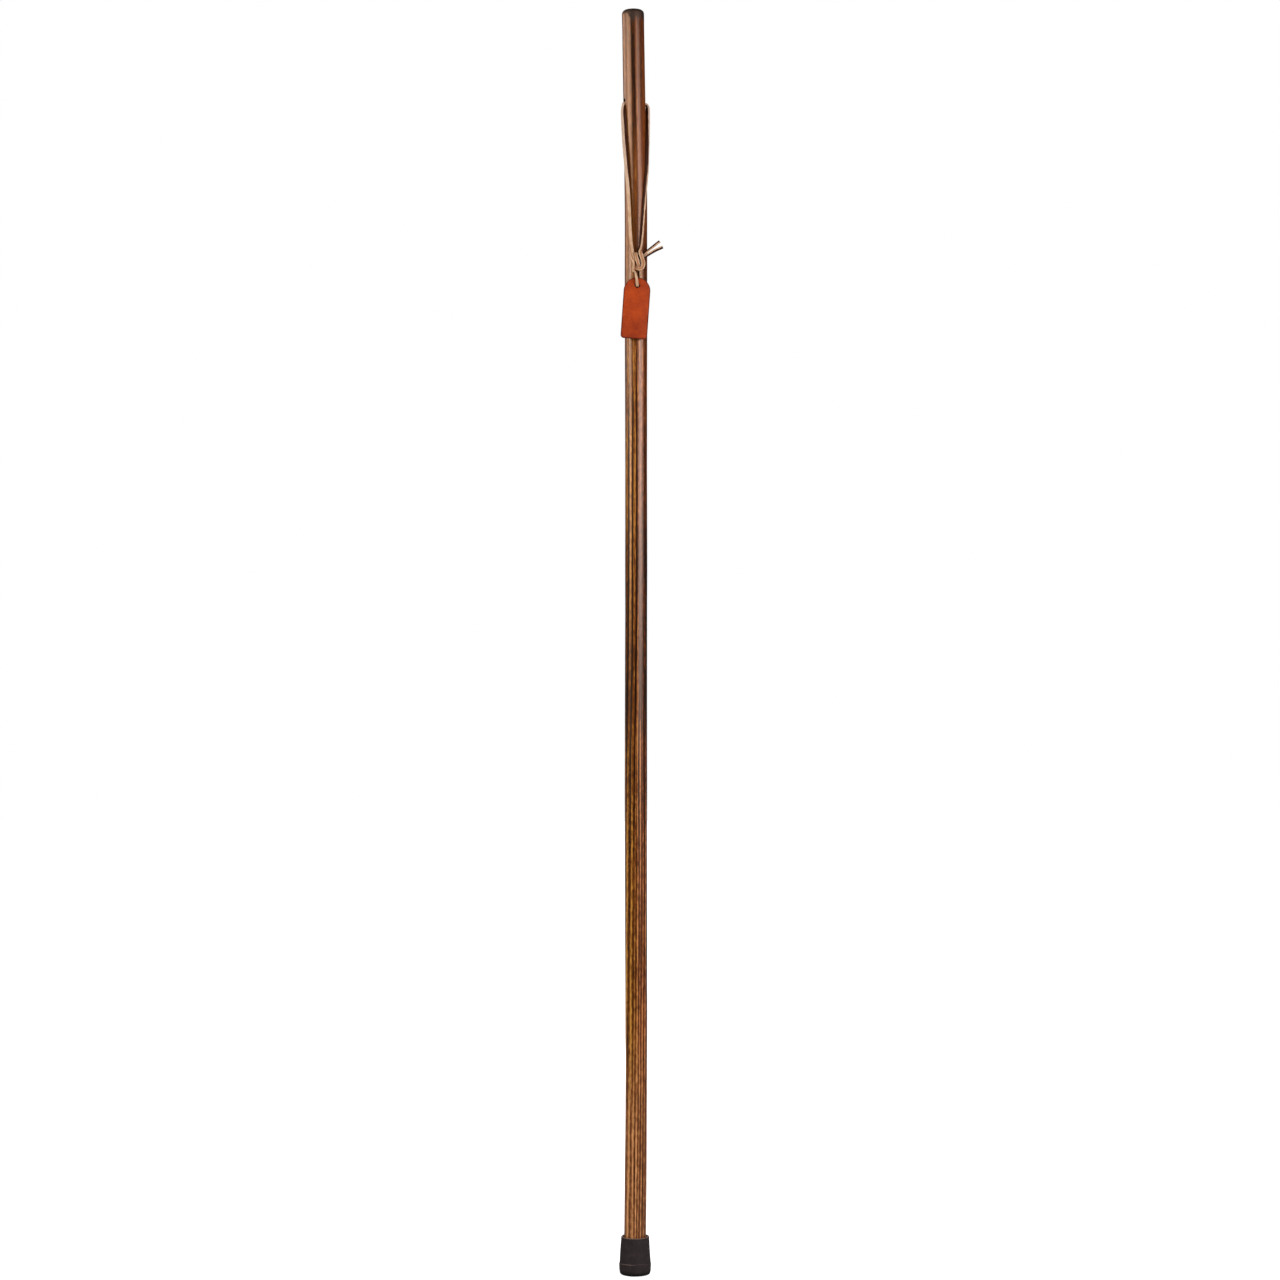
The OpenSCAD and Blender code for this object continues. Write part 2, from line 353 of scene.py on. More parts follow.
def moulded_rubber():
    """Matte charcoal rubber: a fine moulded grain, dusty patches, a painted highlight on the upper faces of
    the lip and, stronger on the left, of the step, a small round moulding mark in front whose ring is
    darkened as painted shade in its groove, and painted shadow that blackens the bottom towards the floor."""
    finish, sockets, where = new_finish("tip_rubber")
    x, y, z = where.axes()
    up = where.node("NewGeometry", out="Normal").axes()[2]
    grain = where.noise(2600, 2.0, 0.6)
    mottle = where.noise(160, 4.0, 0.6)
    scuffs = where.stretched((220, 220, 900)).noise(1.0, 3.0, 0.7).ease(0.60, 0.74)
    rim = up.ease(0.25, 0.85)
    lip = rim * z.ease(0.0420, 0.0430) * mottle.ease(0.3, 0.55, 0.45, 1.0)
    ledge_highlight = rim * z.ease(0.0100, 0.0115) * z.ease(0.0190, 0.0175) * x.ease(0.001, -0.005, 0.3, 1.0)
    spot = ((x + 0.004) ** 2 + (z - 0.038) ** 2) ** 0.5
    mark = spot.ease(0.0004, 0.0007) * spot.ease(0.0014, 0.0010) * y.ease(0.0, -0.01)
    dust = (mottle.ease(0.40, 0.75) * 0.45 + scuffs * 0.3).at_most(1.0)
    rubber = dust.between(shade("2a2122"), shade("3f3537"))
    # Painted highlight: a pale tan line where the lip's upper face catches the lamps
    rubber = (lip * 0.5).between(rubber, shade("ae8b78"))
    # Painted highlight on the step's upper face, stronger on the left
    rubber = (ledge_highlight * 0.7).between(rubber, shade("85706a"))
    # Painted shadow: the bottom is blackened towards the floor
    rubber = (z.ease(0.0065, 0.0020) * 0.9).between(rubber, shade("0a0606"))
    # The mark's ring is darkened as painted shade in its groove
    rubber = (mark * 0.45).between(rubber, shade("120c0d"))
    skin = (grain * 0.5 + mottle * 0.8 - mark * 1.5).bump(0.35, 0.0003)
    feed(sockets, Base_Color=rubber, Roughness=0.66 + 0.2 * mottle, Normal=skin, Specular_IOR_Level=0.25)
    return finish


def zinc_steel():
    """Zinc-plated steel with the fine turned lines of a stamped washer."""
    finish, sockets, where = new_finish("washer_steel")
    x, y = where.axes()[:2]
    lines = ((x * x + y * y) ** 0.5).joined(0, 0).noise(9000)
    cloud = where.noise(300, 3.0)
    steel = cloud.between(shade("a9abae"), shade("c9cacc"))
    feed(sockets, Base_Color=steel, Metallic=1.0, Roughness=0.28 + 0.2 * lines,
         Normal=lines.bump(0.1, 0.0001))
    return finish


def lace_leather():
    """Cut lace: one dark grain side, and pale suede on the cut sides and on the back, whose middle is
    painted a darker tan as painted shade across the lace.
    The suede is greyer higher up. The number side is 1 in the middle of the grain side and falls to -1 at
    the back, across goes from -1 to 1 over the width, run is the distance along the lace, and cut is 1 at a
    cut end."""
    finish, sockets, where = new_finish("thong_leather")
    side, across, run, cut = (where.node("Attribute", {"attribute_name": name}, out="Fac")
                              for name in ("side", "across", "run", "cut"))
    nap = where.noise(1500, 3.0, 0.65)
    fibre = run.joined(side * 0.01, across * 0.01).stretched((90, 420, 420)).noise(1.0, 3.0, 0.6)
    blotch = where.noise(140, 3.0, 0.55)
    pale = (blotch.ease(0.3, 0.7) * 0.6 + (fibre - 0.5) * 0.9).between(shade("ccaa8c"), shade("a37c5a"))
    pale = nap.ease(0.52, 0.75, 0.0, 0.45).between(pale, shade("96694a"))
    # Painted shade: the middle of the back is darkened to tan against its pale edges
    core = (across * across + (fibre - 0.5) * 0.8).ease(0.62, 0.12) * side.ease(-0.80, -0.95)
    pale = (core * 0.8).between(pale, shade("94603a"))
    pale = (where.axes()[2].ease(1.24, 1.32) * 0.4).between(pale, shade("b9a9a2"))
    brown = nap.ease(0.35, 0.7).between(shade("44200f"), shade("270f06"))
    grain_side = (side + (nap - 0.5) * 0.25).ease(0.72, 0.86)
    skin = grain_side.at_least(cut * 0.85).between(pale, brown)
    fuzz = (nap * 0.7 + fibre * 0.5).bump(0.5, 0.0003)
    feed(sockets, Base_Color=skin, Roughness=0.80 - 0.2 * grain_side, Normal=fuzz, Specular_IOR_Level=0.15)
    return finish


def tag_leather():
    """Waxed orange-brown leather: a pebbled grain with pores, wax clouds, and burnished edges. The number
    edge is 1 on the cut edges and fades inwards."""
    finish, sockets, where = new_finish("tag_leather")
    edge = where.node("Attribute", {"attribute_name": "edge"}, out="Fac")
    pebble = where.cells(2300, "SMOOTH_F1")
    creases = where.cells(1500, "DISTANCE_TO_EDGE").ease(0.0, 0.16)
    cloud = where.noise(70, 4.0, 0.6)
    speck = where.noise(900, 3.0, 0.65)
    lower = where.axes()[2].ease(1.118, 1.090)
    wax = cloud.ease(0.3, 0.72) * 0.55 + (speck - 0.5) * 1.3 + lower * 0.3 + 0.12
    rub = (edge + (speck - 0.5) * 0.4 + (cloud - 0.5) * 0.4).ease(0.55, 1.1)
    leather = rub.between(wax.between(shade("b0410c"), shade("7c2306")), shade("641a06"))
    # The crease lines are painted darker too, as painted shade in the creases
    leather = creases.ease(0.0, 1.0, 0.16, 0.0).between(leather, shade("6a1f08"))
    grain = (pebble * 0.6 + creases * 0.3 + speck * 0.5).bump(0.3, 0.0002)
    feed(sockets, Base_Color=leather, Roughness=0.5 + 0.18 * speck, Normal=grain, Specular_IOR_Level=0.28,
         Specular_Tint=(1.0, 0.75, 0.6, 1.0))
    return finish


# Thong

# Middle of the lace, in millimetres, close to the solid's: down each strand, then in the knot's own frame
KNOT_MID = np.array([3.5, -12.8, 1178.0])


def at_knot(points):
    """Points given as right, up and out from the front of the stick, put in the common frame."""
    right, up, out = np.asarray(points, float).T
    return KNOT_MID + np.stack([right, -out, up], axis=1)


LACE_MID = HOLE_MID - [0, 0, LACE_SAG]
RIGHT_WAY = np.vstack([
    [LACE_MID, LACE_MID + 6 * HOLE_DIR, LACE_MID + 12 * HOLE_DIR,
     [12.5, 4.6, 1362.6], [13.6, 2.6, 1358.4], [13.6, -0.4, 1351.6], [13.6, -2.5, 1343], [13.5, -4.3, 1328],
     [13.2, -5.8, 1312], [12.9, -7.2, 1296], [12.3, -9.1, 1279], [10.6, -11.4, 1260], [8.7, -12.9, 1236],
     [7.3, -13.8, 1214], [6, -14.3, 1199]],
    at_knot([
        [1.5, 14.4, 2.4], [1.7, 10, 4.3], [2.6, 6.6, 5], [3.7, 3.2, 5], [4.7, 0.2, 4.6], [5.3, -2.8, 4.2],
        [4.9, -5.8, 4.4], [3.1, -8, 4.9], [0.6, -8.9, 5.1], [-1.9, -8.5, 4.7], [-3.6, -7.2, 3],
        [-4.4, -5.2, 1.8], [-4.5, -2.8, 1.6], [-3.6, -0.6, 1.6], [-2, 1.1, 1.7], [0.2, 2.2, 1.6],
        [2.8, 3.1, 1.5], [5.4, 4.5, 1.7], [8.4, 6.3, 2.8], [12.2, 8.5, 3.8], [19.6, 12.6, 4.7],
        [27.4, 16, 5]])])
LEFT_WAY = np.vstack([
    [LACE_MID, LACE_MID - 6 * HOLE_DIR, LACE_MID - 12 * HOLE_DIR,
     [-14.7, -5.7, 1361.6], [-15.2, -7.2, 1358], [-15.1, -8.5, 1352], [-14.8, -9.2, 1344],
     [-14.1, -9.8, 1332], [-13.3, -10.4, 1318], [-12, -11.5, 1302], [-10.6, -12.5, 1284],
     [-9.3, -13.3, 1264], [-7.9, -14, 1240], [-7, -14.5, 1216], [-5.7, -14.9, 1198]],
    at_knot([
        [-8, 12.5, 1.8], [-7.4, 7, 2.6], [-6.9, 3, 4], [-6.4, -0.6, 4.9], [-6.2, -4, 5], [-6.4, -7.4, 4.9],
        [-6.5, -10.2, 4.8], [-5.8, -12.4, 5.4], [-4.6, -14.2, 7.2], [-3.8, -16.2, 8.9], [-3.3, -18.6, 9.4],
        [-2.9, -21, 9.4], [-2.6, -23.6, 9.2],
        [-2.3, -27.2, 8.4], [-1.9, -28.2, 5.4], [-1.3, -27.2, 2.4],
        [0.8, -23.6, 1.8], [2, -19, 1.9], [1.9, -14.5, 1.7], [1.7, -11.2, 1.5], [1, -8.6, 1.6],
        [0, -6.1, 2.7], [-0.9, -3.6, 4.4], [-1.7, -0.6, 5.1], [-2.5, 2.4, 5.1], [-3.1, 4.8, 5.2],
        [-3.5, 6.3, 5.4],
        [-3.75, 7.35, 5.35], [-3.87, 8.28, 4.98], [-3.9, 8.95, 4.3], [-3.85, 9.2, 3.35], [-3.7, 8.95, 2.42],
        [-3.4, 8.28, 1.75], [-2.9, 7.4, 1.5], [-2.1, 6.5, 1.5], [-0.8, 6, 1.45], [0.9, 6.05, 1.4],
        [2.9, 6.9, 1.4], [5.2, 8.5, 1.7], [8.6, 10.9, 2.8], [12.8, 14.1, 3.9], [18.4, 18.4, 4.7],
        [23.8, 22.6, 5]])])

# Where the lace's grain side faces, then its width and thickness, by the number of the route point
RIGHT_TURNS = {
    0: (0, 0, -1, 3.6, 2.6), 2: (0, 0, -1, 3.6, 2.6), 4: (-0.6, -0.7, -0.35, 5, 3.2),
    5: (-0.68, -0.73, 0, 5, 3.4), 6: (-0.66, -0.75, 0, 5, 3.4), 8: (-0.35, -0.93, 0, 4.6, 2.8),
    9: (-0.35, -0.93, 0, 4.5, 2.6), 10: (-0.65, -0.75, 0, 4.2, 2.5), 12: (-0.75, -0.65, 0, 4, 2.4),
    14: (-0.9, -0.4, 0, 4, 2.4), 15: (-0.9, -0.2, 0, 4, 2.3), 16: (-0.3, 1, 0, 4.1, 2.2),
    17: (0, 1, 0, 4.2, 2.2), 21: (0, 1, 0, 4.1, 2.2), 24: (0, 1, 0, 4, 2.2), 29: (0, 1, 0, 3.8, 2.2),
    31: (0.3, 0.4, -0.6, 3.6, 2.2), 33: (0.42, -0.55, -0.7, 3.4, 2.3), 36: (0.42, -0.55, -0.7, 3.6, 2.2)}
LEFT_TURNS = {
    0: (0, 0, -1, 3.6, 2.6), 2: (0, 0, -1, 3.6, 2.6), 4: (0.8, -0.35, -0.5, 4.2, 3.3),
    5: (0.84, -0.54, 0, 4.6, 4), 8: (0.85, -0.53, 0, 4.4, 4.8), 9: (0.86, -0.5, 0, 4.4, 4.8),
    10: (0.9, -0.4, 0, 4.2, 4.6), 11: (0.95, 0, 0, 4, 4.4), 14: (0.9, 0.3, 0, 4, 3.8),
    16: (0.85, 0.5, 0, 4, 2.8), 17: (0.2, 1, 0, 3.8, 2.4), 18: (-0.8, 0.4, 0, 3.8, 2.4),
    19: (-0.9, 0.1, 0, 4, 2.4), 20: (-0.8, 0.6, 0, 4, 2.4), 22: (-0.8, 0.6, 0, 3.8, 2.4),
    24: (-1, 0.1, 0, 3.4, 2.8), 26: (-1, 0, 0, 3.4, 3.4), 29: (-1, 0, 0, 3.4, 3.4),
    31: (-1, 0, 0, 3.4, 2.6), 32: (-0.95, 0.3, 0, 3.0, 2.3), 33: (-0.85, 0.5, 0, 3.2, 2.1),
    35: (-0.7, 0.7, 0, 3.8, 2.2), 37: (0, 1, 0, 3.9, 2.2), 42: (0, 1, -0.1, 3.9, 2.2),
    45: (0, 0, -1, 3.8, 2.1), 48: (0, -1, 0, 3.8, 2.1), 51: (0, -1, 0, 3.8, 2.1),
    54: (-0.45, -0.6, 0.66, 3.6, 2.2), 57: (-0.45, -0.6, 0.66, 3.6, 2.2)}

LACE_STEP, LACE_SIDES, LACE_SQUARE = 0.5, 28, 5.0
# The cut end is eased over this length, to this share of its width
CUT_EASE, CUT_SHARE = 0.25, 0.86


def smooth_way(way, steps=14):
    """A curve through a row of points: on each span between b and c, with a before and d after, half of
    2b + (c - a)t + (2a - 5b + 4c - d)t^2 + (3b - a - 3c + d)t^3."""
    padded = np.vstack([2 * way[0] - way[1], way, 2 * way[-1] - way[-2]])
    a, b, c, d = (padded[k:len(padded) - 3 + k, None] for k in range(4))
    t = (np.arange(steps) / steps)[None, :, None]
    curve = 0.5 * (2 * b + (c - a) * t + (2 * a - 5 * b + 4 * c - d) * t**2 + (3 * b - a - 3 * c + d) * t**3)
    return np.vstack([curve.reshape(-1, way.shape[1]), way[-1:]])


def lace(name, way, turns, finish):
    """Half the thong, from the middle of the hole to its cut end. A flat section with rounded corners,
    |a|^5 + |b|^5 = 1, is carried along the smooth route. Its grain side faces where turns says, and its
    width varies a little, as knife-cut lace does."""
    keys = np.array(sorted(turns))
    turned = np.array([turns[k] for k in keys], float)
    twist = np.stack([np.interp(np.arange(len(way)), keys, col) for col in turned.T], axis=1)
    curve = smooth_way(np.hstack([way, twist]))
    run = run_along(curve[:, :3])
    length = run[-1]
    at = np.linspace(0, length, int(round(length / LACE_STEP)) + 1)
    curve = np.stack([np.interp(at, run, col) for col in curve.T], axis=1)
    middle, face, width, thickness = curve[:, :3], curve[:, 3:6], curve[:, 6], curve[:, 7]
    along = unit(np.gradient(middle, axis=0))
    face = unit(face - np.sum(face * along, axis=1, keepdims=True) * along)
    across = np.cross(face, along)

    turn = np.arange(LACE_SIDES) / LACE_SIDES * FULL_TURN
    a, b = (np.sign(v) * np.abs(v) ** (2 / LACE_SQUARE) for v in (np.cos(turn), np.sin(turn)))
    swell = 1 + 0.025 * np.sin(at / 4.3 + len(way)) + 0.02 * np.sin(at / 1.9)
    half_w, half_t = width / 2 * swell, thickness / 2 * (2 - swell)
    rings = (middle[:, None] + across[:, None] * (half_w[:, None] * a)[:, :, None]
             + face[:, None] * (half_t[:, None] * b)[:, :, None])
    end = middle[-1:] + along[-1:] * CUT_EASE
    rings = np.concatenate([rings, (end + (rings[-1] - middle[-1]) * CUT_SHARE)[None]])
    rows = len(rings)
    points = np.vstack([rings.reshape(-1, 3), middle[:1], end])
    faces = (grid_faces(rows, LACE_SIDES) + fan_faces(0, rows * LACE_SIDES, LACE_SIDES, flip=True)
             + fan_faces((rows - 1) * LACE_SIDES, rows * LACE_SIDES + 1, LACE_SIDES))
    side, broad = (np.append(np.tile(values, rows), [0, 0]) for values in (b, a))
    distance = np.append(np.repeat(np.append(at, length), LACE_SIDES), [0, length]) * MM
    cut = ease(np.append(at, length + CUT_EASE), length - 0.6, length + 0.1)
    cut = np.append(np.repeat(cut, LACE_SIDES), [0, 1])
    piece = add_piece(name, points, faces, finish, "strap", "thong_leather", "wrist_thong",
                      {"side": side, "across": broad, "run": distance, "cut": cut})
    return piece, middle * MM, length * MM


# Tag

TAG_COUNT = 240
EDGE_R, HOLE_EDGE_R, EDGE_RINGS = 0.9, 0.4, 11
# A face's rings: even ones from the hole to this far from the edge, then at these insets, with their wear
FACE_RINGS, FACE_INSET = 22, 3.4
EDGE_WEAR = ((2.9, 0.2), (2.4, 0.32), (1.9, 0.5), (1.4, 0.72))
# How far the sides and the lower left corner lie back, and the height of a slow ripple
SIDES_BACK, CORNER_BACK, RIPPLE = 0.7, 0.9, 0.25


def tag_outline(inset):
    """The tag's edge, moved inwards by inset: a half circle on straight sides, with rounded lower corners.
    Its points lie at even distances, clockwise from the top, seen from the front, from the hole's middle."""
    half = TAG_W / 2
    arch_y, foot_y = TAG_HOLE_DROP - half, TAG_HOLE_DROP - TAG_H
    corner = half - TAG_CORNER
    whole = np.vstack([
        arc(0, arch_y, half, 90, 0, 60), arc(corner, foot_y + TAG_CORNER, TAG_CORNER, 0, -90, 16),
        arc(-corner, foot_y + TAG_CORNER, TAG_CORNER, -90, -180, 16), arc(0, arch_y, half, 180, 90, 60)])
    run = run_along(whole)
    at = np.arange(TAG_COUNT) / TAG_COUNT * run[-1]
    edge = np.stack([np.interp(at, run, col) for col in whole.T], axis=1)
    ahead = unit(np.roll(edge, -1, axis=0) - np.roll(edge, 1, axis=0))
    inwards = np.stack([ahead[:, 1], -ahead[:, 0]], axis=1)
    return edge + inset * inwards


def tag_shape():
    """A leather plate with a hole, as one closed grid: rings run from the hole out over the front, round the
    cut edge, back in over the rear and through the hole. The plate is cupped: its sides lie back by the
    square of their distance from the middle, its lower left corner by a smooth step, and a slow sine runs
    down it."""
    half_t, hole_r = TAG_T / 2, TAG_HOLE_D / 2
    way = unit(tag_outline(0))
    bend = np.radians(np.linspace(90, -90, EDGE_RINGS))
    rings, heights, wear = [], [], []

    def add(ring, height, worn):
        rings.append(ring)
        heights.append(height)
        wear.append(worn)

    def add_face(order, height):
        """The rings of a face, from the hole outwards, or inwards if order is -1."""
        inner, rim = way * (hole_r + HOLE_EDGE_R), tag_outline(FACE_INSET)
        steps = [(inner + (rim - inner) * s, 0.55 * (1 - ease(s, 0.0, 0.12)) + 0.12 * ease(s, 0.8, 1.0))
                 for s in np.linspace(0, 1, FACE_RINGS)]
        steps += [(tag_outline(inset), worn) for inset, worn in EDGE_WEAR]
        for ring, worn in steps[::order]:
            add(ring, height, worn)

    def rolled(edge_r, a):
        """Height on an edge that is rounded at both faces, at an angle from front to rear."""
        return (half_t - edge_r) * np.sign(a) * min(1, abs(a)) + edge_r * math.sin(a)

    add_face(1, half_t)
    for a in bend:
        add(tag_outline(EDGE_R * (1 - math.cos(a))), rolled(EDGE_R, a), 1.0)
    add_face(-1, -half_t)
    for a in bend[::-1]:
        add(way * (hole_r + HOLE_EDGE_R * (1 - math.cos(a))), rolled(HOLE_EDGE_R, a), 1.0)

    flat = np.array(rings)
    x, up = flat[..., 0], flat[..., 1]
    cup = (RIPPLE * np.sin(up / 17.0) * ease(-up, 5, 30) - SIDES_BACK * (x / (TAG_W / 2)) ** 2
           - CORNER_BACK * ease(-x - up, 40, 78))
    out = np.array(heights)[:, None] + cup
    side = x * math.cos(TAG_TILT) + up * math.sin(TAG_TILT)
    lift = up * math.cos(TAG_TILT) - x * math.sin(TAG_TILT)
    points = TAG_EYE + np.stack([side, -out, lift], axis=-1)
    return points.reshape(-1, 3), grid_faces(*flat.shape[:2], ring=True), np.repeat(wear, TAG_COUNT)


# Stick

STICK_SIDES = 96
# Rings inside the ferrule, from there to the hole, from the hole to the top, and over the top's edge
FOOT_RINGS, LONG_RINGS, GRIP_RINGS, CROWN_RINGS = 6, 232, 22, 12
CROOK_BEND = 30.0
MOUTH_CELLS, MOUTH_EDGE_R = 6, 0.5
# The stick isn't quite straight or even: how far its middle strays to the right, and what its radius gains
WANDER_AT = [0, 50, 97, 167, 237, 307, 410, 517, 620, 727, 800, 867, 970, 1077]
WANDER_BY = [-1.1, -1.0, -0.46, 0.1, 0.38, 0.32, 0.1, -0.12, 0.0, 0.1, 0.22, 0.28, 0.15, 0]
GAIN_AT = [42, 45, 120, 250, 330, 450, 600, 700, 760, 900, 1000, 1120, 1180, 1260, 1300, 1340]
GAIN_BY = [0, 0.5, 0.35, 0.27, 0.35, 0.55, 0.5, 0.4, 0.25, 0.1, 0.1, 0.3, 0.4, 0.35, 0.15, 0]


def stick_point(s, turn, radius):
    """A point of the stick, from its distance s along the stick, its angle and its distance from the middle
    line. The line is upright, strays as WANDER_BY says, and leans left by LEAN above the crook; the turn is
    eased over a short bend."""
    s = np.asarray(s, float)
    t = np.clip((s - CROOK_H + CROOK_BEND) / (2 * CROOK_BEND), 0, 1)
    lean = LEAN * t * t * (3 - 2 * t)
    past = np.maximum(s - CROOK_H - CROOK_BEND, 0)
    left = (LEAN * 2 * CROOK_BEND * (t**3 - t**4 / 2) + math.sin(LEAN) * past
            - np.interp(s, WANDER_AT, WANDER_BY))
    height = np.minimum(s, CROOK_H) + np.maximum(s - CROOK_H, 0) * math.cos(LEAN)
    right = radius * np.cos(turn)
    return np.stack(np.broadcast_arrays(right * np.cos(lean) - left, radius * np.sin(turn),
                                        height + right * np.sin(lean)), axis=-1)


def stick_radius(s, turn):
    """Radius of the stick: a long taper to the grip, with what GAIN_BY adds, and slow waves of about a tenth
    of a millimetre left by the sanding, which fade out towards the ferrule and the top."""
    grip_foot = HOLE_AT + HOLE_D / 2 + 1.5
    taper = np.interp(s, [TIP_H, CROOK_H, grip_foot], [LOW_D / 2, NECK_D / 2, GRIP_D / 2])
    waves = (0.07 * np.sin(s / 41 + 0.8 * np.cos(turn + 1)) + 0.06 * np.cos(2 * turn + s / 160)
             + 0.05 * np.sin(s / 17 + 2 * turn) * np.sin(s / 71))
    gain = np.interp(s, GAIN_AT, GAIN_BY)
    return taper + gain + waves * ease(s, TIP_H + 4, TIP_H + 60) * ease(STICK_TOP - s, 8, 30)


def mouth_rings(facing, up, round_by):
    """Rings from a square round a mouth of the strap hole, at the angle facing, to the hole's middle. up and
    round_by are the heights and angles of the square's points from the mouth's middle. The rings narrow
    evenly to a circle on the stick's skin, roll over its edge by a quarter circle and run down the bore."""
    wall, hole_r = GRIP_D / 2, HOLE_D / 2
    edge = hole_r + MOUTH_EDGE_R
    psi = np.arctan2(up, round_by * wall)
    rings = []
    for share in np.linspace(0, 1, 7)[1:]:
        by = round_by + (np.arcsin(edge * np.cos(psi) / wall) - round_by) * share
        rise = up + (edge * np.sin(psi) - up) * share
        rings.append(stick_point(HOLE_AT + rise, facing + by, stick_radius(HOLE_AT + rise, facing + by)))

    def bored(r, out):
        """A ring of radius r about the hole's axis, at a distance out from the stick's middle."""
        across, rise = r * np.cos(psi), r * np.sin(psi)
        return stick_point(HOLE_AT + rise, facing + np.arctan2(across, out), np.hypot(across, out))

    for a in np.linspace(0.4, math.pi / 2, 4):
        r = hole_r + MOUTH_EDGE_R * (1 - math.sin(a))
        skin = np.sqrt(wall**2 - (r * np.cos(psi)) ** 2)
        rings.append(bored(r, skin - MOUTH_EDGE_R * (1 - math.cos(a))))
    rings += [bored(hole_r, out) for out in (8.0, 4.0, 0.0)]
    return np.array(rings)


def stick_shape():
    """The stick, as rings along its length from the foot to the rounded top, with a strap hole drilled
    through: a square of the grid round each mouth gives way to the rings of that mouth."""
    foot = SOLE_T + WASHER_T
    cell = GRIP_D / 2 * FULL_TURN / STICK_SIDES
    reach = MOUTH_CELLS * cell
    low = np.concatenate([np.linspace(foot, TIP_H + 2, FOOT_RINGS),
                          np.linspace(TIP_H + 8, HOLE_AT - reach, LONG_RINGS)])
    mouth = np.linspace(HOLE_AT - reach, HOLE_AT + reach, 2 * MOUTH_CELLS + 1)
    high = np.linspace(HOLE_AT + reach, STICK_TOP - CROWN_R, GRIP_RINGS)
    s = np.concatenate([low[:-1], mouth, high[1:]])
    turn = HOLE_TURN + np.arange(STICK_SIDES) / STICK_SIDES * FULL_TURN
    rings = stick_point(s[:, None], turn, stick_radius(s[:, None], turn))
    first = len(low) - 1
    # Rounded top edge, then the flat end
    a = np.linspace(0, math.pi / 2, CROWN_RINGS)[1:]
    flat_r = GRIP_D / 2 - CROWN_R
    crown_s = np.concatenate([STICK_TOP - CROWN_R + CROWN_R * np.sin(a), np.full(4, STICK_TOP)])
    crown_r = np.concatenate([flat_r + CROWN_R * np.cos(a), flat_r * np.array([0.8, 0.6, 0.4, 0.2])])
    rings = np.concatenate([rings, stick_point(crown_s[:, None], turn, crown_r[:, None])])
    rows = len(rings)
    ends = stick_point(np.array([foot, STICK_TOP]), 0.0, np.zeros(2))
    points = [rings.reshape(-1, 3), ends]
    count = rows * STICK_SIDES
    faces = (fan_faces(0, count, STICK_SIDES, flip=True)
             + fan_faces((rows - 1) * STICK_SIDES, count + 1, STICK_SIDES))
    count += len(ends)

    # The border of the square round a mouth, as rows and columns of the grid
    n = 2 * MOUTH_CELLS
    k = np.arange(n)
    border_row = np.concatenate([np.zeros(n), k, np.full(n, n), n - k]).astype(int)
    border_col = np.concatenate([k, np.full(n, n), n - k, np.zeros(n)]).astype(int) - MOUTH_CELLS
    up, round_by = (border_row - MOUTH_CELLS) * cell, border_col * FULL_TURN / STICK_SIDES
    keep = np.ones((rows - 1, STICK_SIDES), bool)
    for middle in (0, STICK_SIDES // 2):
        keep[first:first + n, (middle + np.arange(-MOUTH_CELLS, MOUTH_CELLS)) % STICK_SIDES] = False
        border = (first + border_row) * STICK_SIDES + (middle + border_col) % STICK_SIDES
        inner = mouth_rings(turn[middle], up, round_by)
        points.append(inner.reshape(-1, 3))
        next_ring = count + np.arange(len(border))
        faces += np.stack([border, np.roll(border, -1), np.roll(next_ring, -1), next_ring], axis=-1).tolist()
        faces += grid_faces(*inner.shape[:2], count)
        count += inner.shape[0] * inner.shape[1]
    quads = np.array(grid_faces(rows, STICK_SIDES)).reshape(rows - 1, STICK_SIDES, 4)
    return np.vstack(points), quads[keep].tolist() + faces


# Ferrule

TIP_SIDES = 144
# Rounding and slope of the tread's grooves
GROOVE_R, GROOVE_SLOPE = 0.2, 0.05
# How far the step's edge lies below the body's foot, and the radii of that edge and of the fillet behind it
STEP_DROP, STEP_R, FILLET_R = 0.6, 0.5, 0.35
# What the ferrule's radius gains over the solid's, and how far the step rises in front
TIP_GAIN, STEP_RISE = 0.5, 1.3


def tip_profile():
    """Radius and height of the ferrule's outline, from the middle of the sole out over the tread, up the
    band and the tapered body, over the rolled lip and down the socket."""
    foot_r = BAND_D / 2 - BAND_TAPER
    socket_r = LOW_D / 2 + SOCKET_GAP
    pitch = (foot_r - SOLE_R) / (TREAD_N + 1)
    half = TREAD_W / 2
    inner = half - GROOVE_SLOPE
    groove = np.array([(half + GROOVE_R, 0), (half, GROOVE_R), (inner, TREAD_DEPTH - GROOVE_R),
                       (inner - GROOVE_R, TREAD_DEPTH)])
    both_walls = np.vstack([groove * [-1, 1], groove[::-1]])
    sole = [both_walls + [k * pitch, 0] for k in range(1, TREAD_N + 1)]

    step = BAND_H - STEP_DROP
    band_r, body_r, mouth_r = BAND_D / 2, TIP_BODY_D / 2, TIP_MOUTH_D / 2
    lip_z = TIP_H - LIP_R
    outside = [
        arc(foot_r - SOLE_R, SOLE_R, SOLE_R, -90, 0, 9),
        line((foot_r, SOLE_R), (band_r, step - STEP_R), np.linspace(0, 1, 9)[1:]),
        arc(band_r - STEP_R, step - 0.7 * STEP_R, STEP_R, 10, 80, 5),
        arc(body_r + FILLET_R, BAND_H + FILLET_R, FILLET_R, 260, 190, 4),
        line((body_r, BAND_H + 0.4), (mouth_r, lip_z - 1.5), np.linspace(0.02, 1, 16)),
        arc(mouth_r - LIP_R, lip_z, LIP_R, -15, 200, 14)]
    socket = [(mouth_r - 2 * LIP_R - 0.15, lip_z - 0.35), (socket_r + 0.5, lip_z - 0.5),
              (socket_r + 0.1, lip_z - 0.7), (socket_r, lip_z - 1.2), (socket_r, 30),
              (socket_r, SOLE_T + 0.3), (socket_r - 0.3, SOLE_T)]
    return np.vstack([*sole, *outside, socket])


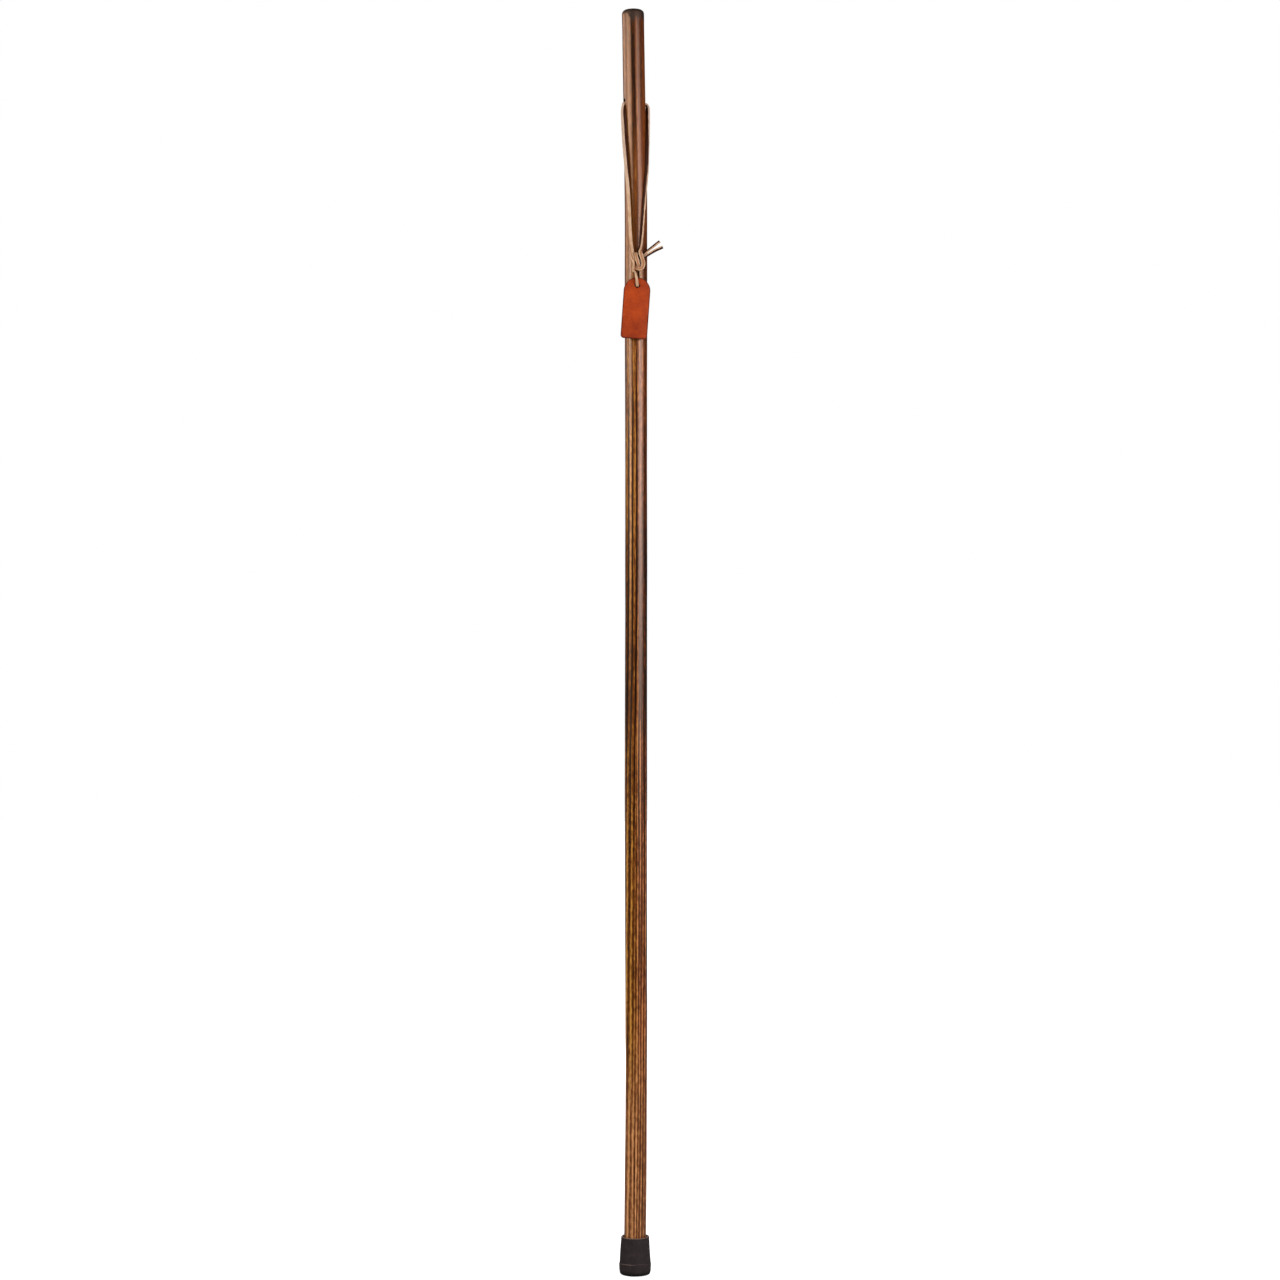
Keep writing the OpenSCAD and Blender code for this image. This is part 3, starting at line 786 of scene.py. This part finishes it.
def tip_shape():
    """The ferrule: its outline turned about the stick's strayed middle, with slow waves of a few hundredths
    of a millimetre in the moulded walls. The step between band and body rises in front by STEP_RISE times
    the square of the sine of the angle, and wavers by a quarter of a millimetre."""
    r, z = tip_profile().T[:, :, None]
    turn = np.arange(TIP_SIDES) / TIP_SIDES * FULL_TURN
    wall = ease(r, LOW_D / 2 + 0.6, LOW_D / 2 + 2) * ease(z, 1, 4)
    waves = 0.05 * np.sin(3 * turn + z / 6) + 0.03 * np.cos(7 * turn - z / 3)
    radius = r + wall * (waves + TIP_GAIN)
    front = STEP_RISE * np.clip(-np.sin(turn), 0, 1) ** 2 + 0.25 * np.sin(5 * turn + 0.9)
    lift = front * ease(z, 6, 12) * ease(-z, -21, -13.5)
    stray = np.interp(z, WANDER_AT, WANDER_BY)
    rings = np.stack([stray + radius * np.cos(turn), radius * np.sin(turn), z + lift], axis=-1)
    rows = len(rings)
    points = np.vstack([rings.reshape(-1, 3), [[WANDER_BY[0], 0, 0], [WANDER_BY[0], 0, SOLE_T]]])
    faces = (grid_faces(rows, TIP_SIDES) + fan_faces(0, rows * TIP_SIDES, TIP_SIDES, flip=True)
             + fan_faces((rows - 1) * TIP_SIDES, rows * TIP_SIDES + 1, TIP_SIDES))
    return points, faces


# Stage and light

FLOOR_HALF, FLOOR_DROP = 8.0, 0.0003
# How bright the room and the floor behind the stick are in gloss, and the room as plain light
ROOM_DIM, FLOOR_GLOSS, ROOM_FILL = 0.03, 0.34, 0.2
WHITE = (1, 1, 1, 1)
PAPER = (0.8, 0.8, 0.8, 1)


def ray_kinds(start):
    """1 for a ray straight from the camera or through glass, and 1 for a ray from gloss."""
    camera, glossy, through = (start.node("LightPath", out="Is %s Ray" % kind)
                               for kind in ("Camera", "Glossy", "Transmission"))
    return camera + through, glossy


def add_stage():
    """A white floor and surround. Seen directly or through glass they are plain white, and the floor takes a
    soft shadow; in gloss the room is dim towards the camera's side, so that gloss shows the lamps."""
    mesh = bpy.data.meshes.new("floor")
    corners = np.array([[-1, -1], [1, -1], [1, 1], [-1, 1]]) * FLOOR_HALF
    mesh.from_pydata([(x, y, -FLOOR_DROP) for x, y in corners.tolist()], [], [(0, 1, 2, 3)])
    floor = bpy.data.objects.new("floor", mesh)
    bpy.context.collection.objects.link(floor)
    paper = bpy.data.materials.new("floor_paper")
    paper.use_nodes = True
    tree = paper.node_tree
    tree.nodes.remove(tree.nodes["Principled BSDF"])
    start = Tone(tree)
    seen, glossy = ray_kinds(start)
    x, y = start.node("TexCoord", out="Object").axes()[:2]
    away = (x * x + y * y) ** 0.5
    behind = y.ease(0.2, 1.2, ROOM_DIM, FLOOR_GLOSS).at_least(away.ease(1.0, 0.1, 0.0, FLOOR_GLOSS))
    matte = start.node("BsdfDiffuse", {}, {"Color": PAPER})
    white = start.node("Emission", {}, {"Color": WHITE, "Strength": seen * away.ease(0.3, 2.0, 0.75, 1.0)})
    mirrored = start.node("Emission", {}, {"Color": WHITE, "Strength": behind})
    plain = start.node("AddShader", {}, {0: matte, 1: white})
    both = start.node("MixShader", {}, {0: glossy, 1: plain, 2: mirrored})
    tree.links.new(both.socket, tree.nodes["Material Output"].inputs["Surface"])
    mesh.materials.append(paper)

    world = bpy.data.worlds.new("surround")
    world.use_nodes = True
    bpy.context.scene.world = world
    tree = world.node_tree
    start = Tone(tree)
    seen, glossy = ray_kinds(start)
    behind = start.node("TexCoord", out="Generated").axes()[1].ease(0.994, 1.0, ROOM_DIM, 1.0)
    strength = seen + glossy * behind + (1 - seen - glossy) * ROOM_FILL
    tree.links.new(strength.socket, tree.nodes["Background"].inputs["Strength"])
    tree.nodes["Background"].inputs["Color"].default_value = WHITE


def softbox(name, around, distance, low, high, width, brightness, tint):
    """A rectangular lamp between two heights that faces the stick from around degrees to the right of the
    camera's side; brightness is what its face shines with."""
    lamp = bpy.data.lights.new(name, "AREA")
    lamp.shape = "RECTANGLE"
    lamp.size, lamp.size_y = width, high - low
    lamp.energy = brightness * width * (high - low) * math.pi
    lamp.color = tint
    box = bpy.data.objects.new(name, lamp)
    a = math.radians(around)
    box.location = (math.sin(a) * distance, -math.cos(a) * distance, (low + high) / 2)
    box.rotation_euler = (math.pi / 2, 0, a)
    box.visible_camera = False
    bpy.context.collection.objects.link(box)


# Putting it together

bpy.context.scene.view_settings.view_transform = "Standard"
add_camera()

thong_finish = lace_leather()
left_lace, left_line, left_length = lace("thong_left", LEFT_WAY, LEFT_TURNS, thong_finish)
right_lace, right_line, right_length = lace("thong_right", RIGHT_WAY, RIGHT_TURNS, thong_finish)
tag_points, tag_faces, tag_edge = tag_shape()
tag = add_piece("tag", tag_points, tag_faces, tag_leather(), "tag", "tag_leather", "leather_tag",
                {"edge": tag_edge})

add_piece("stick", *stick_shape(), stained_wood(), "staff", "stained_wood", "shaft")
add_piece("ferrule", *tip_shape(), moulded_rubber(), "staff", "tip_rubber", "rubber_tip")
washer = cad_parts["tip_washer"]
washer.data.materials.clear()
washer.data.materials.append(zinc_steel())

add_stage()
softbox("left_box", -64, 1.7, 0.95, 1.87, 0.52, 11.0, (1.0, 0.98, 0.90))
softbox("left_top_box", -42, 1.7, 1.56, 1.87, 0.55, 10.5, (1.0, 0.98, 0.90))
softbox("left_side_box", -106, 1.6, 1.60, 1.87, 1.3, 4.0, (1.0, 0.97, 0.94))
softbox("left_low_box", -106, 1.6, 1.15, 1.60, 1.3, 1.6, (1.0, 0.97, 0.96))
softbox("right_box", 43, 1.9, 0.72, 1.42, 1.0, 9.5, (1.0, 0.97, 1.0))
softbox("right_side_box", 66, 1.9, 0.72, 1.42, 0.6, 4.5, (1.0, 0.97, 1.0))
softbox("right_top_box", 43, 1.9, 1.42, 1.97, 1.0, 3.9, (1.0, 0.97, 1.0))
softbox("back_box", 180, 1.9, 0.25, 1.45, 0.4, 7.0, (1.0, 0.97, 1.0))
softbox("right_strip", 30, 1.9, 1.42, 1.78, 0.10, 16.0, (1.0, 0.95, 1.0))
